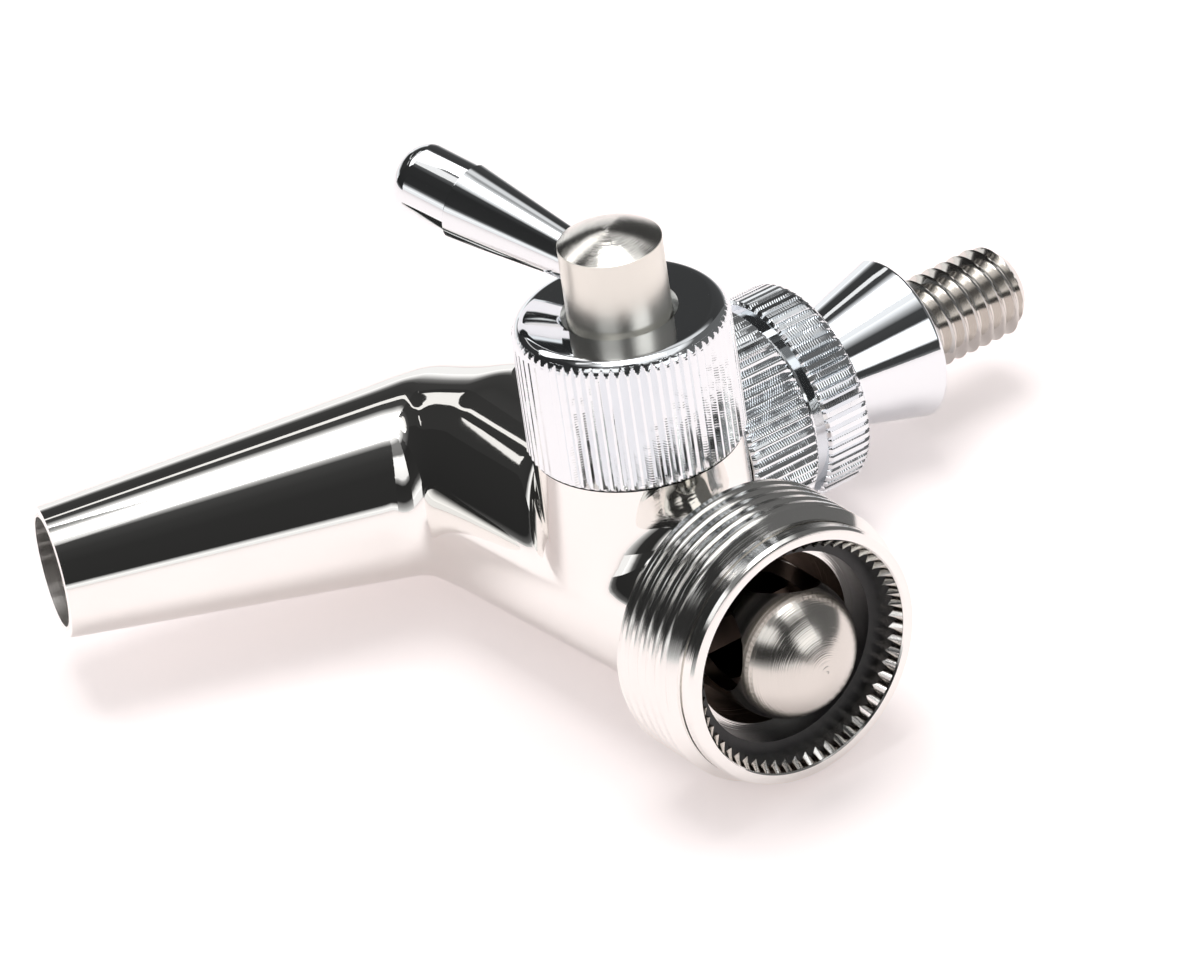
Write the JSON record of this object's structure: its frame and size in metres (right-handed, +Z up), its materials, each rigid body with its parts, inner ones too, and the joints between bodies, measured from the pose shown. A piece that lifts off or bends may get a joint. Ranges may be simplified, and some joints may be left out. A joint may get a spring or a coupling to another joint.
{
  "type": "beer faucet",
  "caption": "Polished steel beer faucet with tapered spout, threaded wall coupling, knurled bonnets, threaded handle stud and side lever that sets the flow.",
  "frame": {"origin": "centre of the coupling's rear ring face, on the axis of the bore", "axes": "+Y to the rear, out of the coupling into the wall shank; +Z up along the handle; +X to the flow-control lever"},
  "size_m": [0.0552, 0.0783, 0.1001],
  "materials": {
    "body_steel": "mirror polish",
    "bonnet_chrome": "bright",
    "lever_chrome": "bright",
    "satin_steel": "satin",
    "turned_steel": "turned",
    "stud_steel": "machined",
    "washer_rubber": "matt",
    "seal_rubber": "matt",
    "bearing_plastic": "satin",
    "slide_plastic": "matt"
  },
  "bodies": {
    "body": {"faucet_body": "body_steel", "coupling_washer": "washer_rubber", "flow_bonnet": "bonnet_chrome", "flow_thrust_washer": "slide_plastic", "flow_friction_washer": "slide_plastic", "handle_bonnet": "bonnet_chrome", "lower_cup": "bearing_plastic", "friction_ring": "bearing_plastic", "bonnet_washer": "slide_plastic", "ball_o_ring": "seal_rubber"},
    "flow_stem": {"flow_stem": "satin_steel", "crank_pin": "stud_steel", "flow_lever": "lever_chrome", "stem_o_ring_inner": "seal_rubber", "stem_o_ring_outer": "seal_rubber"},
    "flow_plug": {"flow_plug": "turned_steel"},
    "handle": {"handle_lever": "stud_steel", "handle_collar": "bonnet_chrome"},
    "valve_shaft": {"valve_shaft": "stud_steel", "shaft_seal": "seal_rubber"}
  },
  "joints": [
    {"name": "handle_tilt", "type": "hinge", "parent": "body", "child": "handle", "pos_m": [0, -0.0407, 0.022], "axis": [1, 0, 0], "range_deg": [0, 16]},
    {"name": "valve_slide", "type": "slide", "parent": "body", "child": "valve_shaft", "axis": [0, 1, 0], "range_m": [0, 0.0061]},
    {"name": "flow_lever_turn", "type": "hinge", "parent": "body", "child": "flow_stem", "pos_m": [0.02, -0.0239, 0], "axis": [-1, 0, 0], "range_deg": [0, 90]},
    {"name": "flow_plug_slide", "type": "slide", "parent": "body", "child": "flow_plug", "axis": [0, -1, 0], "range_m": [0, 0.00425]}
  ],
  "couplings": [
    {"joint": "valve_slide", "follows": "handle_tilt", "m_per_rad": 0.0217},
    {"joint": "flow_plug_slide", "follows": "flow_lever_turn", "m_per_rad": 0.0027}
  ]
}
